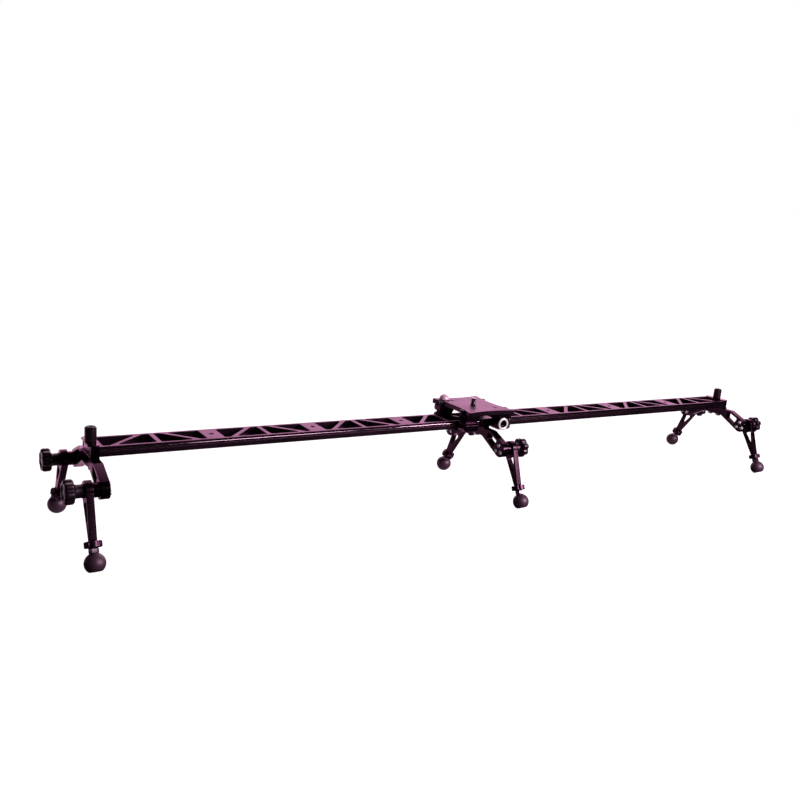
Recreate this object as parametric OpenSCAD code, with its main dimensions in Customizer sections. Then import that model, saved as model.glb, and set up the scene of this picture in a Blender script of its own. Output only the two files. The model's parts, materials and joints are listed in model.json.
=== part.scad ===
// Camera slider: a flat truss rail on three arched outriggers with six splayed legs,
// and a carriage on four grooved rollers that run on steel rods along the rail's sides.
// Millimetres. +X runs along the rail, +Z is up, and the origin is on the floor
// under the middle of the rail. Front is -Y.

/* [Rail] */
// Distance from one drilled boss of the rail to the next
bay_len = 150; // [130:10:170]
// Number of bays along the rail
bay_count = 8; // [4:2:10]
// Width of the rail
rail_w = 46; // [46:0.5:48]
// Height of the rail
rail_h = 13; // [13:0.5:14]
// Height of the rail's top face above the floor
rail_top = 126; // [124:1:132]
// Radius of the steel rod let into each side of the rail
rod_r = 1.25; // [1.1:0.05:1.3]
// Width of the solid pad around each boss
boss_pad = 24; // [20:1:30]
// Radius of the tapped hole in each boss
boss_hole_r = 3.2; // [2.6:0.1:3.2]

/* [Arched outriggers] */
// Thickness of an arch along the rail
arch_t = 11.4; // [10:0.2:14]
// Distance from the rail's middle line to a leg's pivot
pivot_y = 65; // [64:1:75]
// Height of a leg's pivot above the floor
pivot_z = 87; // [85:1:89]
// Radius of the round boss at the pivot
pivot_boss_r = 12; // [11.5:0.5:13]

/* [Legs] */
// Angle of each leg from vertical at rest
leg_angle = 27; // [20:1:33]
// Thickness of a leg along its pivot
leg_t = 8.6; // [8:0.1:12]
// Radius of a leg's round head
leg_head_r = 12.2; // [12:0.1:13]
// Radius of a rubber ball foot
ball_r = 12.4; // [11.6:0.1:13]
// Radius of a clamp knob over its lobes
knob_r = 14.8; // [13:0.1:16]
// Number of lobes on a clamp knob
knob_lobes = 7; // [5:1:9]
// Radius of a lock nut over its ears
nut_r = 10.3; // [9.5:0.1:11]

/* [Carriage] */
// Where the carriage stands along the rail at rest
carriage_x = -14; // [-300:1:300]
// Length of the carriage plate along the rail
plate_len = 92; // [88:1:100]
// Width of the carriage plate across its corners
plate_w = 104; // [102:1:112]
// Thickness of the carriage plate
plate_t = 7.5; // [5.5:0.5:8]
// Height of the plate's top face above the floor
plate_top = 145; // [143:1:150]
// Depth of the hollow in the plate's front and rear edges
bow_y = 7; // [4:0.5:7]
// Depth of the hollow in the plate's end edges
bow_x = 8; // [4:0.5:9]
// Radius of the threaded stud that holds the tripod head
stud_r = 4.76; // [3.17:0.01:4.76]
// Free length of that stud above the plate
stud_len = 10; // [8:0.5:14]

/* [Hidden] */

$fn = 64;
eps = 0.01;         // overshoot that keeps cuts clean
run_fit = 0.06;     // radial clearance of a shaft that turns
bolt_fit = 0.1;     // radial clearance of a bolt in its hole
gap = 0.1;          // side gap between parts that slide on each other

LEFT = -1;          // stations along the rail
CENTRE = 0;
RIGHT = 1;
STATIONS = [LEFT, CENTRE, RIGHT];
FRONT = -1;         // sides of the rail
REAR = 1;
SIDES = [FRONT, REAR];

// Rail
rail_len = bay_len * bay_count;
rail_bottom = rail_top - rail_h;
track_z = rail_top - 3.8;
track_y = rail_w / 2 - rod_r - 0.05;
groove_half = 2.8;           // half height of the groove that clears the rollers
groove_deep = 2;
rim_w = 3.8;                 // solid edge beside the truss holes
strut_w = 6;                 // cross strut in the middle of a bay
brace_gap = 8;               // room along the rail for the diagonal strut
truss_corner_r = 2.6;
last_rim = 5.5;              // solid end of the rail, where the end cap screws on

// End caps and stop posts
cap_t = 9;                   // block on the rail's end
cap_w = 44;
cap_plate_t = 1.6;           // plate over the joint between rail and block
cap_over_rail = 2;
cap_overhang = 3;
cap_corner_r = 6;
post_r = 7.25;
post_h = 18.4;
post_chamfer = 1.6;
post_x = rail_len / 2 + 4.5;
cap_screw_y = 16.5;
cap_screw_z = rail_bottom + 6.5;

// Screws: shaft radius, head radius, head height
M3 = [1.5, 2.75, 2.2];
M4 = [2, 3.4, 3.6];
M6 = [3, 4.9, 3.6];
cap_screw_len = 9.5;
post_screw_len = 25;
arch_bolt_len = 22.5;
roller_screw_len = 13.5;
bracket_screw_len = 11;

// Arches
arch_x = rail_len / 2 + 4.5;
arch_bottom = rail_bottom - 15.5;
arch_seat = rail_w / 2 - 0.2; // half width of the flat that carries the rail
shoulder = [40.6, rail_bottom - 2.4];
elbow = [20, arch_bottom];
wing_window = [[34, -6.8], [40, -6.8], [56.6, -14], [50.6, -26.8], [34, -17.6]];
hub_screw_pcd_r = 6.4;
end_bolt_y = 9;

// Pivot stack, measured outwards from the arch's outer face
hub_r = 9;
hub_t = 8;
pivot_shaft_r = 4;
leg_in = hub_t + gap;
leg_out = leg_in + leg_t;
sleeve_r = 8.3;
sleeve_in = leg_out + gap;
sleeve_len = 11;
knob_in = sleeve_in + sleeve_len;
knob_t = 12;
shaft_end = knob_in + 8;

// Leg, measured down its own axis from the pivot
ball_flat = 0.8 * ball_r;
flat_rim = acos(ball_flat / ball_r);
foot_drop = ball_r * cos(flat_rim - leg_angle);
leg_len = (pivot_z - foot_drop) / cos(leg_angle);
neck_r = 6;
neck_bottom = leg_len - sqrt(ball_r * ball_r - neck_r * neck_r);
neck_len = 6.4;
neck_top = neck_bottom - neck_len;
nut_t = 8;
nut_top = neck_top - nut_t - 2 * gap;
leg_bottom = nut_top - gap;
leg_end_w = 8.6;
stud_top = 39;
stud_bore_top = 37.5;
foot_stud_r = 3;
leg_window = [[-6.4, 14.8], [6.4, 14.8], [1.8, 35], [-1.8, 35]];
window_corner_r = 1.4;

// Carriage
plate_bottom = plate_top - plate_t;
plate_corner_r = 2.5;
stud_shank_r = stud_r + 0.4;
bracket_len = 28;
bracket_w = 19.6;
bracket_in = rail_w / 2 + 0.6;
bracket_bottom = rail_bottom - 1;
bracket_corner_r = 3;
bracket_x = plate_len / 2 - bracket_len / 2;
waist_z = rail_top + 0.5;
waist_deep = 4.2;
foot_chamfer = 3;
bracket_screw_dx = 10.5;
bracket_screw_y = bracket_in + 4.6;
roller_r = 6;
roller_half = 2.6;           // half the roller's thickness
roller_vee = 2.2;            // depth of its 90 degree groove
roller_x = bracket_x + 3.5;
roller_y = track_y + rod_r * sqrt(2) + roller_r - roller_vee + 0.05;
roller_room = 0.4;           // clearance of its pocket in the bracket
brake_dx = -11;              // from the bracket's middle
brake_z = rail_top - 1.5;
brake_barrel_r = 9.8;
brake_barrel_len = 11;
brake_shaft_r = 2.5;
brake_tip_gap = 0.4;
level_r = 9;
level_pos = [-29.8, 38.4];
level_sunk = 2;

function bow_radius(chord, depth) = (chord * chord / 4 + depth * depth) / (2 * depth);

// Point where a line from p touches a circle, on its left (turn = 1) or right (turn = -1)
function tangent_point(p, c, r, turn) =
    let (d = norm(c - p), a = atan2(c[1] - p[1], c[0] - p[0]) + turn * asin(r / d))
    p + sqrt(d * d - r * r) * [cos(a), sin(a)];

// ---- placing ----

// Turns a drawing in (Y, Z) into a solid of thickness t along X, centred on X = 0
module slab(t) {
    rotate([90, 0, 90])
        linear_extrude(t, center = true)
            children();
}

// Cylinder along X from x0 to x1
module rod_x(x0, x1, r) {
    translate([x0, 0, 0])
        rotate([0, 90, 0])
            cylinder(h = x1 - x0, r = r);
}

// Cylinder along Y from y0 to y1
module rod_y(y0, y1, r) {
    translate([0, y0, 0])
        rotate([-90, 0, 0])
            cylinder(h = y1 - y0, r = r);
}

// Puts a front-side drawing on either side of the rail
module on_side(side) {
    if (side == REAR)
        mirror([0, 1, 0]) children();
    else
        children();
}

// Pivot frame: origin on the arch's outer face at the pivot, +X away from the arch
module at_pivot(station, side) {
    on_side(side)
        if (station == LEFT)
            mirror([1, 0, 0])
                translate([arch_x + arch_t / 2, -pivot_y, pivot_z]) children();
        else
            translate([station * arch_x + arch_t / 2, -pivot_y, pivot_z]) children();
}

// Leg frame: the same, with -Z pointing down the leg
module at_leg(station, side) {
    at_pivot(station, side)
        rotate([-leg_angle, 0, 0]) children();
}

// Corner frame of the carriage: +X towards its end, +Y away from the rail
module at_corner(end, side) {
    translate([carriage_x, 0, 0])
        scale_sign(end, side) children();
}

module scale_sign(sx, sy) {
    mirror([sx < 0 ? 1 : 0, 0, 0])
        mirror([0, sy < 0 ? 1 : 0, 0]) children();
}

module at_corners() {
    for (end = [LEFT, RIGHT], side = SIDES)
        at_corner(end, side) children();
}

// ---- hardware ----

// Socket head screw: head on Z = 0 and above, shaft below
module cap_screw(size, len) {
    difference() {
        union() {
            cylinder(h = size[2], r = size[1]);
            translate([0, 0, -len]) cylinder(h = len + eps, r = size[0]);
        }
        translate([0, 0, size[2] * 0.4])
            cylinder(h = size[2], r = size[1] * 0.52, $fn = 6);
    }
}

// ---- rail ----

module rail_section() {
    side = rail_w / 2;
    web = side - groove_deep;
    floor_z = track_z - groove_half;
    roof_z = track_z + groove_half;
    half = [
        [side, rail_bottom], [side, floor_z], [web, floor_z],
        [web, roof_z], [side, roof_z], [side, rail_top]
    ];
    mirrored = [for (i = [len(half) - 1:-1:0]) [-half[i][0], half[i][1]]];
    polygon(concat(half, mirrored));
}

// One half of a bay, from the boss pad at x = 0 to the middle strut: a hole that is wide
// at the rear edge, a diagonal strut, and a hole that is wide at the front edge
module half_bay_holes(len) {
    reach = rail_w / 2 - rim_w;
    wide = len - 2 * brace_gap;
    narrow = brace_gap;
    inset = truss_corner_r;
    offset(r = inset, $fn = 32) offset(delta = -inset) {
        polygon([[0, reach], [wide, reach], [narrow, -reach], [0, -reach]]);
        polygon([[len, -reach], [len - wide, -reach], [len - narrow, reach], [len, reach]]);
    }
}

module truss_holes() {
    for (bay = [0:bay_count - 1]) {
        from = -rail_len / 2 + bay * bay_len;
        first_pad = bay == 0 ? last_rim : boss_pad / 2;
        last_pad = bay == bay_count - 1 ? last_rim : boss_pad / 2;
        half = bay_len / 2 - strut_w / 2;
        translate([from + first_pad, 0])
            half_bay_holes(half - first_pad);
        translate([from + bay_len - last_pad, 0])
            mirror([1, 0]) half_bay_holes(half - last_pad);
    }
}

module rail() {
    color([0.20, 0.16, 0.20])
        difference() {
            slab(rail_len) rail_section();
            translate([0, 0, rail_bottom - 1])
                linear_extrude(rail_h + 2) truss_holes();
            for (boss = [1:bay_count - 1])
                translate([boss * bay_len - rail_len / 2, 0, rail_bottom - 1])
                    cylinder(h = rail_h + 2, r = boss_hole_r);
            for (end = [LEFT, RIGHT], y = [-cap_screw_y, cap_screw_y])
                mirror([end < 0 ? 1 : 0, 0, 0])
                    translate([0, y, cap_screw_z])
                        rod_x(rail_len / 2 - 4.5, rail_len / 2 + 1, M4[0] + bolt_fit);
            for (side = SIDES)
                translate([0, side * track_y, track_z])
                    rod_x(-rail_len / 2 - 1, rail_len / 2 + 1, rod_r + 0.05);
        }
}

module track_rods() {
    color([0.70, 0.66, 0.70])
        for (side = SIDES)
            translate([0, side * track_y, track_z])
                rod_x(-rail_len / 2, rail_len / 2, rod_r);
}

// ---- end caps and stop posts ----

module end_cap(end) {
    block_x = rail_len / 2;
    plate_x0 = block_x - cap_over_rail;
    plate_x1 = block_x + cap_t + cap_overhang;
    color([0.14, 0.11, 0.14])
        mirror([end < 0 ? 1 : 0, 0, 0])
            difference() {
                union() {
                    translate([block_x, -cap_w / 2, rail_bottom])
                        cube([cap_t, cap_w, rail_h + eps]);
                    translate([0, 0, rail_top])
                        linear_extrude(cap_plate_t)
                            offset(r = cap_corner_r) offset(delta = -cap_corner_r)
                                translate([plate_x0, -rail_w / 2])
                                    square([plate_x1 - plate_x0, rail_w]);
                }
                translate([post_x, 0, rail_bottom + 3])
                    cylinder(h = rail_h + cap_plate_t, r = M6[0] + bolt_fit);
                for (y = [-end_bolt_y, end_bolt_y])
                    translate([arch_x, y, rail_bottom - 1])
                        cylinder(h = 9, r = M6[0] + bolt_fit);
                for (y = [-cap_screw_y, cap_screw_y])
                    translate([0, y, cap_screw_z]) {
                        rod_x(block_x - 1, block_x + cap_t + 1, M4[0] + bolt_fit);
                        rod_x(block_x + cap_t - M4[2], block_x + cap_t + 1, M4[1] + bolt_fit);
                    }
            }
}

module end_cap_screws() {
    color([0.55, 0.53, 0.56])
        for (end = [LEFT, RIGHT], y = [-cap_screw_y, cap_screw_y])
            mirror([end < 0 ? 1 : 0, 0, 0])
                translate([rail_len / 2 + cap_t - M4[2], y, cap_screw_z])
                    rotate([0, 90, 0]) cap_screw(M4, cap_screw_len);
}

module stop_post(end) {
    color([0.10, 0.08, 0.10])
        translate([end * post_x, 0, rail_top + cap_plate_t])
            difference() {
                rotate_extrude()
                    polygon([
                        [0, 0], [post_r, 0], [post_r, post_h - post_chamfer],
                        [post_r - post_chamfer, post_h], [0, post_h]
                    ]);
                translate([0, 0, -1]) cylinder(h = post_h + 2, r = M6[0] + bolt_fit);
                translate([0, 0, post_h - M6[2] - 0.6]) cylinder(h = 5, r = M6[1] + bolt_fit);
            }
}

module stop_post_screws() {
    color([0.30, 0.28, 0.32])
        for (end = [LEFT, RIGHT])
            translate([end * post_x, 0, rail_top + cap_plate_t + post_h - M6[2] - 0.6])
                cap_screw(M6, post_screw_len);
}

// ---- arched outriggers ----

module arch_wing() {
    pivot = [pivot_y, pivot_z];
    top_touch = tangent_point(shoulder, pivot, pivot_boss_r, 1);
    low_touch = tangent_point(elbow, pivot, pivot_boss_r, -1);
    difference() {
        polygon([
            [-eps, rail_bottom], [arch_seat, rail_bottom], [arch_seat + 0.4, shoulder[1]],
            shoulder, top_touch, pivot, low_touch, elbow, [-eps, arch_bottom]
        ]);
        offset(r = window_corner_r, $fn = 32) offset(delta = -window_corner_r)
            polygon([for (p = wing_window) [p[0], rail_bottom + p[1]]]);
    }
}

module arch(station) {
    bolt_ys = station == CENTRE ? [0] : [-end_bolt_y, end_bolt_y];
    color([0.12, 0.09, 0.12])
        difference() {
            union() {
                translate([station * arch_x, 0, 0])
                    slab(arch_t) {
                        arch_wing();
                        mirror([1, 0]) arch_wing();
                    }
                for (side = SIDES)
                    at_pivot(station, side) rod_x(-arch_t, 0, pivot_boss_r);
            }
            for (side = SIDES)
                at_pivot(station, side)
                    at_hub_screws()
                        rod_x(-arch_t - 1, 1, M3[0] + bolt_fit);
            for (y = bolt_ys)
                translate([station * arch_x, y, arch_bottom - 1])
                    cylinder(h = 20, r = M6[0] + bolt_fit);
        }
}

module at_hub_screws() {
    for (a = [90, 210, 330])
        translate([0, hub_screw_pcd_r * cos(a), hub_screw_pcd_r * sin(a)])
            children();
}

module arch_bolts() {
    color([0.72, 0.70, 0.73])
        for (station = STATIONS)
            for (y = station == CENTRE ? [0] : [-end_bolt_y, end_bolt_y])
                translate([station * arch_x, y, arch_bottom])
                    rotate([180, 0, 0]) cap_screw(M6, arch_bolt_len);
}

// Hub that spaces the leg off the arch, turned in one piece with the shaft it turns on
module pivot_hubs(station) {
    color([0.13, 0.10, 0.13])
        for (side = SIDES)
            at_pivot(station, side)
                difference() {
                    union() {
                        rod_x(0, hub_t, hub_r);
                        rod_x(hub_t - eps, shaft_end, pivot_shaft_r);
                    }
                    at_hub_screws() rod_x(-1, 6.5, M3[0] + bolt_fit);
                }
}

module hub_screws() {
    color([0.75, 0.73, 0.76])
        for (station = STATIONS, side = SIDES)
            at_pivot(station, side)
                at_hub_screws()
                    translate([-arch_t, 0, 0])
                        rotate([0, -90, 0]) cap_screw(M3, arch_t + 6);
}

// ---- legs ----

module leg_shank() {
    polygon([
        [-leg_head_r + 0.3, 0], [leg_head_r - 0.3, 0],
        [leg_end_w / 2, -leg_bottom], [-leg_end_w / 2, -leg_bottom]
    ]);
}

module leg_window_outline() {
    offset(r = window_corner_r, $fn = 32) offset(delta = -window_corner_r / 2)
        polygon([for (p = leg_window) [p[0], -p[1]]]);
}

module leg(station, side) {
    color([0.15, 0.11, 0.15])
        at_leg(station, side)
            difference() {
                union() {
                    rod_x(leg_in, leg_out, leg_head_r);
                    translate([(leg_in + leg_out) / 2, 0, 0])
                        slab(leg_t) leg_shank();
                }
                translate([(leg_in + leg_out) / 2, 0, 0])
                    slab(leg_t + 2) leg_window_outline();
                rod_x(leg_in - 1, leg_out + 1, pivot_shaft_r + run_fit);
                translate([(leg_in + leg_out) / 2, 0, -leg_bottom - 1])
                    cylinder(h = leg_bottom - stud_bore_top + 1, r = foot_stud_r + run_fit);
            }
}

module knob_outline() {
    lobe_r = 3.7;
    offset(r = -2, $fn = 32) offset(r = 2, $fn = 32) {
        circle(r = knob_r - 2.6);
        for (i = [0:knob_lobes - 1])
            rotate(i * 360 / knob_lobes)
                translate([knob_r - lobe_r, 0]) circle(r = lobe_r);
    }
}

module clamp_knob(station, side) {
    dish = 1.4;
    color([0.09, 0.07, 0.09])
        at_pivot(station, side)
            difference() {
                union() {
                    rod_x(sleeve_in, knob_in + eps, sleeve_r);
                    translate([knob_in + knob_t / 2, 0, 0])
                        slab(knob_t) knob_outline();
                }
                rod_x(sleeve_in - 1, shaft_end + 0.5, pivot_shaft_r + run_fit);
                rod_x(knob_in + knob_t - dish, knob_in + knob_t + 1, knob_r - 5.5);
            }
}

module lock_nut(station, side) {
    ears = 6;
    notch_r = 2.4;
    color([0.16, 0.12, 0.16])
        at_leg(station, side)
            translate([(leg_in + leg_out) / 2, 0, -nut_top - nut_t])
                difference() {
                    cylinder(h = nut_t, r = nut_r);
                    translate([0, 0, -1])
                        cylinder(h = nut_t + 2, r = foot_stud_r + run_fit);
                    for (i = [0:ears - 1])
                        rotate(i * 360 / ears)
                            translate([nut_r + 0.7, 0, -1])
                                cylinder(h = nut_t + 2, r = notch_r);
                }
}

// Threaded stud with a hexagonal neck that carries the ball
module foot_stud(station, side) {
    into_ball = 9;
    color([0.45, 0.42, 0.45])
        at_leg(station, side)
            translate([(leg_in + leg_out) / 2, 0, 0]) {
                translate([0, 0, -neck_bottom])
                    cylinder(h = neck_len, r = neck_r, $fn = 6);
                translate([0, 0, -neck_top - eps])
                    cylinder(h = neck_top - stud_top + eps, r = foot_stud_r);
                translate([0, 0, -neck_bottom - into_ball])
                    cylinder(h = into_ball + eps, r = foot_stud_r);
            }
}

module foot_ball(station, side) {
    bore_deep = 9.5;
    seat = leg_len - neck_bottom - 0.05;
    color([0.22, 0.16, 0.21])
        at_leg(station, side)
            translate([(leg_in + leg_out) / 2, 0, -leg_len])
                difference() {
                    sphere(r = ball_r);
                    translate([0, 0, -ball_r - ball_flat])
                        cube([3 * ball_r, 3 * ball_r, 2 * ball_r], center = true);
                    translate([0, 0, seat])
                        cylinder(h = ball_r, r = ball_r);
                    translate([0, 0, seat - bore_deep])
                        cylinder(h = ball_r, r = foot_stud_r + 0.05);
                }
}

// ---- carriage ----

module plate_outline() {
    bow_ry = bow_radius(plate_len, bow_y);
    bow_rx = bow_radius(plate_w, bow_x);
    offset(r = plate_corner_r, $fn = 32) offset(delta = -plate_corner_r)
        difference() {
            square([plate_len, plate_w], center = true);
            for (side = [-1, 1]) {
                translate([0, side * (plate_w / 2 - bow_y + bow_ry)])
                    circle(r = bow_ry, $fn = 180);
                translate([side * (plate_len / 2 - bow_x + bow_rx), 0])
                    circle(r = bow_rx, $fn = 180);
            }
        }
}

module at_bracket_screws() {
    for (dx = [-bracket_screw_dx, bracket_screw_dx])
        translate([bracket_x + dx, bracket_screw_y, 0]) children();
}

module carriage_plate() {
    head_sunk = M4[2] + 0.2;
    color([0.24, 0.19, 0.24])
        difference() {
            translate([carriage_x, 0, plate_bottom])
                linear_extrude(plate_t) plate_outline();
            translate([carriage_x, 0, plate_bottom - 1])
                cylinder(h = plate_t + 2, r = stud_shank_r + bolt_fit);
            at_corners()
                at_bracket_screws() {
                    translate([0, 0, plate_bottom - 1])
                        cylinder(h = plate_t + 2, r = M4[0] + bolt_fit);
                    translate([0, 0, plate_top - head_sunk])
                        cylinder(h = plate_t, r = M4[1] + bolt_fit);
                }
            translate([carriage_x + level_pos[0], level_pos[1], plate_top - level_sunk])
                cylinder(h = plate_t, r = level_r + bolt_fit);
        }
}

// Bolt up through the plate: a plain shank in the plate and a threaded free end above it
module head_stud() {
    hex_r = 8.2;
    hex_t = 5;
    color([0.55, 0.53, 0.56])
        translate([carriage_x, 0, plate_bottom]) {
            translate([0, 0, -hex_t]) cylinder(h = hex_t, r = hex_r, $fn = 6);
            translate([0, 0, -eps]) cylinder(h = plate_t + eps, r = stud_shank_r);
            cylinder(h = plate_t + stud_len, r = stud_r);
        }
}

module bracket_blank() {
    tall = plate_bottom - bracket_bottom;
    mid_y = bracket_in + bracket_w / 2;
    cut = waist_deep * sqrt(2);
    difference() {
        translate([bracket_x, mid_y, bracket_bottom])
            linear_extrude(tall)
                offset(r = bracket_corner_r, $fn = 32) offset(delta = -bracket_corner_r)
                    square([bracket_len, bracket_w], center = true);
        translate([bracket_x, bracket_in + bracket_w, waist_z])
            rotate([45, 0, 0]) cube([2 * bracket_len, cut, cut], center = true);
        for (end = [-1, 1])
            translate([bracket_x + end * bracket_len / 2, mid_y, waist_z])
                rotate([0, 45, 0]) cube([cut, 2 * bracket_w, cut], center = true);
        translate([bracket_x, bracket_in + bracket_w, bracket_bottom])
            rotate([45, 0, 0])
                cube([2 * bracket_len, foot_chamfer, foot_chamfer], center = true);
        for (end = [-1, 1])
            translate([bracket_x + end * bracket_len / 2, mid_y, bracket_bottom])
                rotate([0, 45, 0])
                    cube([2 * foot_chamfer, 2 * bracket_w, 2 * foot_chamfer], center = true);
    }
}

module bracket(end, side) {
    outer = bracket_in + bracket_w;
    has_brake = end == RIGHT && side == FRONT;
    pocket_half = roller_half + roller_room;
    color([0.11, 0.08, 0.11])
        at_corner(end, side)
            difference() {
                bracket_blank();
                translate([roller_x, roller_y, track_z - pocket_half])
                    cylinder(h = 2 * pocket_half, r = roller_r + roller_room);
                translate([roller_x, roller_y, bracket_bottom - 1]) {
                    cylinder(h = M4[2] + roller_screw_len + 1.4, r = M4[0] + bolt_fit);
                    cylinder(h = M4[2] + 1, r = M4[1] + bolt_fit);
                }
                at_bracket_screws()
                    translate([0, 0, plate_bottom - 10])
                        cylinder(h = 11, r = M4[0] + bolt_fit);
                if (has_brake)
                    translate([bracket_x + brake_dx, 0, brake_z])
                        rod_y(bracket_in - 1, outer + 1, brake_shaft_r + run_fit);
            }
}

// Roller with a 90 degree groove that sits on the track rod, turning on a vertical screw
module track_roller(end, side) {
    groove_r = roller_r - roller_vee;
    color([0.60, 0.58, 0.60])
        at_corner(end, side)
            translate([roller_x, roller_y, track_z])
                difference() {
                    rotate_extrude()
                        polygon([
                            [0, -roller_half], [roller_r, -roller_half], [roller_r, -roller_vee],
                            [groove_r, 0],
                            [roller_r, roller_vee], [roller_r, roller_half], [0, roller_half]
                        ]);
                    translate([0, 0, -roller_half - 1])
                        cylinder(h = 2 * roller_half + 2, r = M4[0] + run_fit);
                }
}

module roller_axles() {
    color([0.50, 0.48, 0.50])
        at_corners()
            translate([roller_x, roller_y, bracket_bottom + M4[2]])
                rotate([180, 0, 0]) cap_screw(M4, roller_screw_len);
}

module bracket_screws() {
    color([0.30, 0.28, 0.32])
        at_corners()
            at_bracket_screws()
                translate([0, 0, plate_top - M4[2] - 0.2]) cap_screw(M4, bracket_screw_len);
}

// Friction screw: its tip closes on the rail's side, its face is a polished ring
// with a hexagonal socket
module brake_screw() {
    outer = bracket_in + bracket_w;
    face = outer + 0.4 + brake_barrel_len;
    bowl_r = 6.2;
    bowl_deep = 2.5;
    socket_r = 3.4;
    socket_deep = 4;
    color([0.62, 0.60, 0.62])
        at_corner(RIGHT, FRONT)
            translate([bracket_x + brake_dx, 0, brake_z])
                difference() {
                    union() {
                        rod_y(outer + 0.4, face, brake_barrel_r);
                        rod_y(rail_w / 2 + brake_tip_gap, outer + 1, brake_shaft_r);
                    }
                    rod_y(face - bowl_deep, face + 1, bowl_r);
                    translate([0, face - bowl_deep - socket_deep, 0])
                        rotate([-90, 0, 0])
                            cylinder(h = socket_deep + 1, r = socket_r, $fn = 6);
                }
}

module bubble_level() {
    color([0.80, 0.74, 0.80])
        translate([carriage_x + level_pos[0], level_pos[1], plate_top]) {
            translate([0, 0, -level_sunk]) cylinder(h = level_sunk + eps, r = level_r);
            difference() {
                sphere(r = level_r);
                translate([0, 0, -level_r])
                    cube([3 * level_r, 3 * level_r, 2 * level_r], center = true);
            }
        }
}

rail();
end_cap(LEFT);  // end_cap_left
end_cap(RIGHT);  // end_cap_right
end_cap_screws();
stop_post(LEFT);  // stop_post_left
stop_post(RIGHT);  // stop_post_right
stop_post_screws();
arch(LEFT);  // arch_left
arch(CENTRE);  // arch_centre
arch(RIGHT);  // arch_right
arch_bolts();
pivot_hubs(LEFT);  // pivot_hubs_left
pivot_hubs(CENTRE);  // pivot_hubs_centre
pivot_hubs(RIGHT);  // pivot_hubs_right
hub_screws();
leg(LEFT, FRONT);  // leg_left_front
leg(LEFT, REAR);  // leg_left_rear
leg(CENTRE, FRONT);  // leg_centre_front
leg(CENTRE, REAR);  // leg_centre_rear
leg(RIGHT, FRONT);  // leg_right_front
leg(RIGHT, REAR);  // leg_right_rear
clamp_knob(LEFT, FRONT);  // clamp_knob_left_front
clamp_knob(LEFT, REAR);  // clamp_knob_left_rear
clamp_knob(CENTRE, FRONT);  // clamp_knob_centre_front
clamp_knob(CENTRE, REAR);  // clamp_knob_centre_rear
clamp_knob(RIGHT, FRONT);  // clamp_knob_right_front
clamp_knob(RIGHT, REAR);  // clamp_knob_right_rear
lock_nut(LEFT, FRONT);  // lock_nut_left_front
lock_nut(LEFT, REAR);  // lock_nut_left_rear
lock_nut(CENTRE, FRONT);  // lock_nut_centre_front
lock_nut(CENTRE, REAR);  // lock_nut_centre_rear
lock_nut(RIGHT, FRONT);  // lock_nut_right_front
lock_nut(RIGHT, REAR);  // lock_nut_right_rear
foot_stud(LEFT, FRONT);  // foot_stud_left_front
foot_stud(LEFT, REAR);  // foot_stud_left_rear
foot_stud(CENTRE, FRONT);  // foot_stud_centre_front
foot_stud(CENTRE, REAR);  // foot_stud_centre_rear
foot_stud(RIGHT, FRONT);  // foot_stud_right_front
foot_stud(RIGHT, REAR);  // foot_stud_right_rear
foot_ball(LEFT, FRONT);  // foot_ball_left_front
foot_ball(LEFT, REAR);  // foot_ball_left_rear
foot_ball(CENTRE, FRONT);  // foot_ball_centre_front
foot_ball(CENTRE, REAR);  // foot_ball_centre_rear
foot_ball(RIGHT, FRONT);  // foot_ball_right_front
foot_ball(RIGHT, REAR);  // foot_ball_right_rear
carriage_plate();
head_stud();
bracket(LEFT, FRONT);  // bracket_front_left
bracket(RIGHT, FRONT);  // bracket_front_right
bracket(LEFT, REAR);  // bracket_rear_left
bracket(RIGHT, REAR);  // bracket_rear_right
track_roller(LEFT, FRONT);  // track_roller_front_left
track_roller(RIGHT, FRONT);  // track_roller_front_right
track_roller(LEFT, REAR);  // track_roller_rear_left
track_roller(RIGHT, REAR);  // track_roller_rear_right
track_rods();
roller_axles();
bracket_screws();
brake_screw();
bubble_level();
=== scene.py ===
import json
import math

import bmesh
import bpy
from mathutils import Matrix, Vector


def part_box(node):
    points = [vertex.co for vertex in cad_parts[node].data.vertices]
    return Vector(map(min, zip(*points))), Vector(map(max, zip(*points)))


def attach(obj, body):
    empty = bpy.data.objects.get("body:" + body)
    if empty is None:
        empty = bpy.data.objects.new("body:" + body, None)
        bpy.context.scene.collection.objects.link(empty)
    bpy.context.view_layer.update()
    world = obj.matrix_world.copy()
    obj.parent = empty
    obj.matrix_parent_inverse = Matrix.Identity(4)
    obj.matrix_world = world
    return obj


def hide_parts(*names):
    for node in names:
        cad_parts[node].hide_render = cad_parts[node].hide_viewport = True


# Camera slider: finishes for the CAD parts, and detailed meshes for the knobs, feet, nuts,
# studs, screws, rollers, brake and bubble level. Lengths are in metres.

MM = 0.001
TURN = 2 * math.pi
UP = Vector((0, 0, 1))
ALONG = Vector((1, 0, 0))
HEX_SECTOR = TURN / 6
NEARLY = 0.1 * MM                     # slack when points of one radius are picked out
THREAD_R = 3 * MM                     # of the 6 mm studs and screws
BORE_R = 3.1 * MM                     # a hole that clears them
SHAFT_R = 2.5 * MM                    # of the brake screw
ENDS = ("left", "right")
STATIONS = ("left", "centre", "right")
SIDES = ("front", "rear")
CORNERS = ("front_left", "front_right", "rear_left", "rear_right")
LEGS = [f"{station}_{side}" for station in STATIONS for side in SIDES]

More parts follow.
